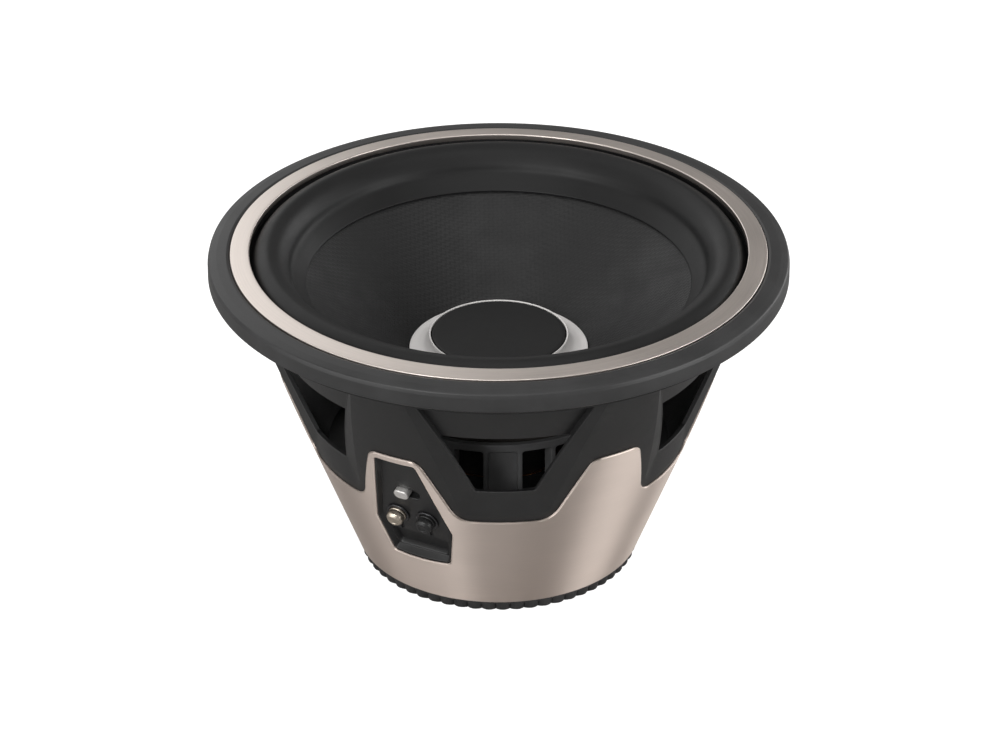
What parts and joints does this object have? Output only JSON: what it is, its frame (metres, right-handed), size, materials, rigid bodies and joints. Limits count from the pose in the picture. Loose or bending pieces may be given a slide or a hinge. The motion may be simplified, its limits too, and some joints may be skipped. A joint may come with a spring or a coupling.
{
  "type": "car subwoofer driver",
  "caption": "Round car subwoofer driver: rubber surround and concave-capped cone in a windowed basket with a metal skirt, trim ring, selector and push terminals.",
  "frame": {"origin": "centre of the base ring's underside", "axes": "+Z along the cone's axis, out of the cone; -Y to the front, through a basket window; the terminal panel is on the spoke turned 30 degrees from -Y towards -X"},
  "size_m": [0.33, 0.33, 0.194],
  "materials": {
    "basket_black": "black powder coat",
    "skirt_metal": "champagne, fine brushed",
    "accent_metal": "champagne satin",
    "trim_rubber": "satin black",
    "surround_rubber": "matt black",
    "foam": "closed-cell foam",
    "cone_weave": "black woven composite",
    "cap_metal": "satin silver",
    "black_plastic": "fine matt",
    "steel": "black passivated",
    "ferrite": "ground ferrite",
    "bare_aluminium": "turned",
    "former_film": "black film",
    "copper": "enamelled wire",
    "spider_cloth": "impregnated weave",
    "gold_plate": "pale gold plate",
    "braid": "tinned copper braid"
  },
  "bodies": {
    "frame-body": {"basket": "basket_black", "skirt": "skirt_metal", "base_ring": "trim_rubber", "back_plate": "steel", "magnet_lower": "ferrite", "magnet_upper": "ferrite", "top_plate": "steel", "shorting_ring": "bare_aluminium", "vent_screen": "black_plastic", "spider_seat": "black_plastic", "plate_bolt_1": "steel", "plate_bolt_2": "steel", "plate_bolt_3": "steel", "plate_bolt_4": "steel", "plate_bolt_5": "steel", "plate_bolt_6": "steel", "base_screw_1": "steel", "base_screw_2": "steel", "base_screw_3": "steel", "base_screw_4": "steel", "baffle_gasket": "foam", "surround": "surround_rubber", "spider": "spider_cloth", "lead_positive": "braid", "lead_negative": "braid", "terminal_cup": "black_plastic", "positive_bezel": "steel", "negative_bezel": "steel"},
    "cone-body": {"cone": "cone_weave", "dust_cap_flare": "cap_metal", "dust_cap_disc": "black_plastic", "coil_former": "former_film", "voice_coil": "copper", "coil_collar": "black_plastic"},
    "trim-body": {"trim_ring": "trim_rubber", "accent_ring": "accent_metal"},
    "positive-cap-body": {"positive_cap": "gold_plate"},
    "negative-cap-body": {"negative_cap": "black_plastic"},
    "selector-body": {"selector_knob": "cap_metal"}
  },
  "joints": [
    {"name": "cone_travel", "type": "slide", "parent": "frame-body", "child": "cone-body", "axis": [0, 0, 1], "range_m": [-0.012, 0.012], "stiffness_N_per_m": 4000, "deforming": ["surround", "spider", "lead_positive", "lead_negative"]},
    {"name": "trim_lift", "type": "slide", "parent": "frame-body", "child": "trim-body", "axis": [0, 0, 1], "range_m": [0, 0.03]},
    {"name": "positive_push", "type": "slide", "parent": "frame-body", "child": "positive-cap-body", "axis": [0.4655, 0.8063, 0.3649], "range_m": [0, 0.003], "stiffness_N_per_m": 800, "springref_m": -0.002},
    {"name": "negative_push", "type": "slide", "parent": "frame-body", "child": "negative-cap-body", "axis": [0.4655, 0.8063, 0.3649], "range_m": [0, 0.003], "stiffness_N_per_m": 800, "springref_m": -0.002},
    {"name": "selector_slide", "type": "slide", "parent": "frame-body", "child": "selector-body", "axis": [0.866, -0.5, 0], "range_m": [0, 0.0058]}
  ]
}
